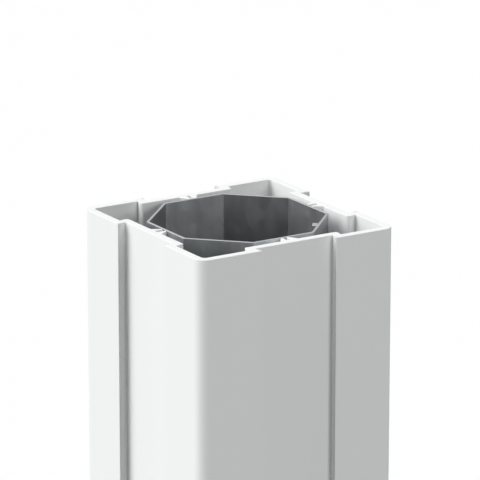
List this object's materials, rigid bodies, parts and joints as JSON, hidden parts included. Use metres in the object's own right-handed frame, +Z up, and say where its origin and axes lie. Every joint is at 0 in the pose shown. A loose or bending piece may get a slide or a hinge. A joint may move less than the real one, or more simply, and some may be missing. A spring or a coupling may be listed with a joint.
{
  "type": "fence post",
  "caption": "Square hollow fence post in white vinyl, with an undercut channel down each face and an octagonal steel tube inside it from end to end.",
  "frame": {"origin": "middle of the lower cut end, on the post's axis", "axes": "+Z up the post's axis; X and Y square to the faces; the core's folded seam is towards the +X -Y corner"},
  "size_m": [0.1016, 0.1016, 1.2192],
  "materials": {
    "vinyl": "satin white",
    "galvanised_steel": "dull zinc grey"
  },
  "bodies": {
    "root": {"post_shell": "vinyl", "core_tube": "galvanised_steel"}
  },
  "joints": []
}
